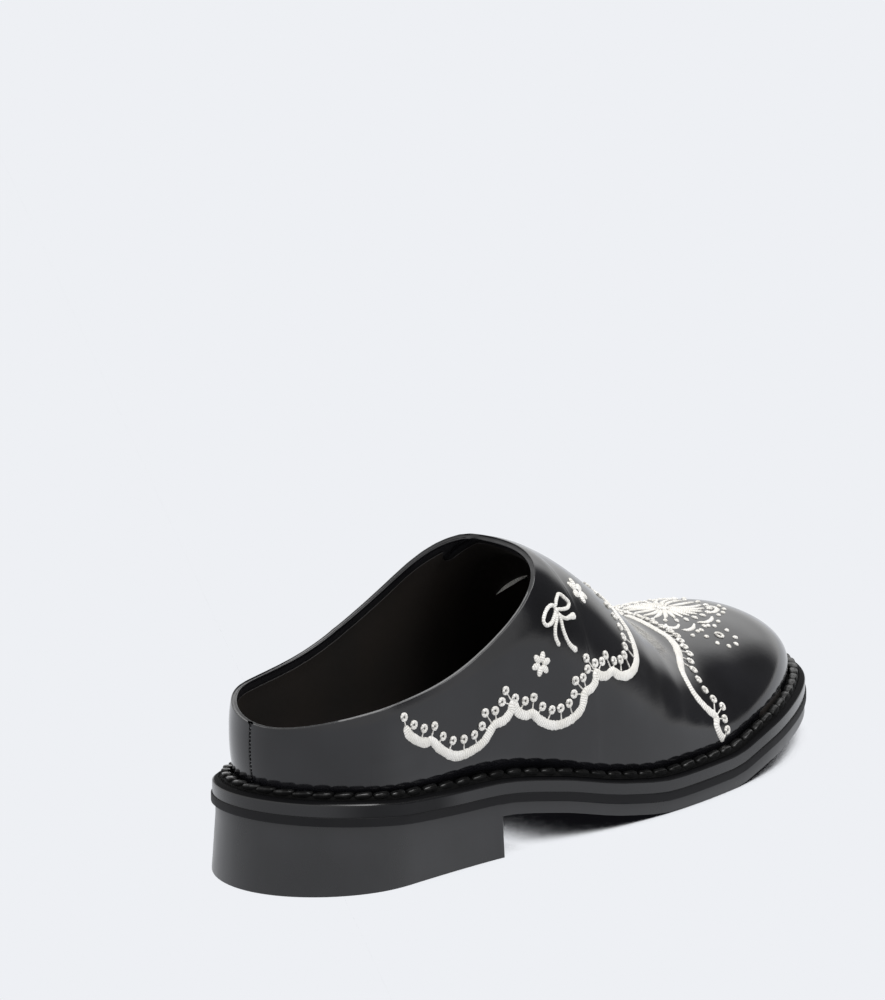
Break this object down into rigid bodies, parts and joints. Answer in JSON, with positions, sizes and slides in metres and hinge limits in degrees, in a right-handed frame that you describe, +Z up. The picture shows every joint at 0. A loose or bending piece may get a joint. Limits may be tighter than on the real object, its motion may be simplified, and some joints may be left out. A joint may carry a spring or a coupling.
{
  "type": "mule",
  "caption": "Closed-toe slip-on mule with a low back collar on a welted sole with a plaited cord round its ledge and a low block heel.",
  "frame": {"origin": "middle of the heel's resting face, on the floor", "axes": "+X to the toe, +Y to the inner side of the foot, +Z up"},
  "size_m": [0.268, 0.097, 0.0856],
  "materials": {
    "sole_edge": "black moulded rubber, buffed to a satin shine",
    "dull_strip": "matt black layer between outsole and welt",
    "welt_edge": "black dyed leather edge, polished",
    "braid": "black plaited leather cord",
    "lining": "very dark brown smooth lining leather",
    "upper_leather": "black polished leather, high shine"
  },
  "bodies": {
    "root": {"outsole": "sole_edge", "midsole_strip": "dull_strip", "welt": "welt_edge", "welt_braid": "braid", "insole": "lining", "upper": "upper_leather"}
  },
  "joints": []
}
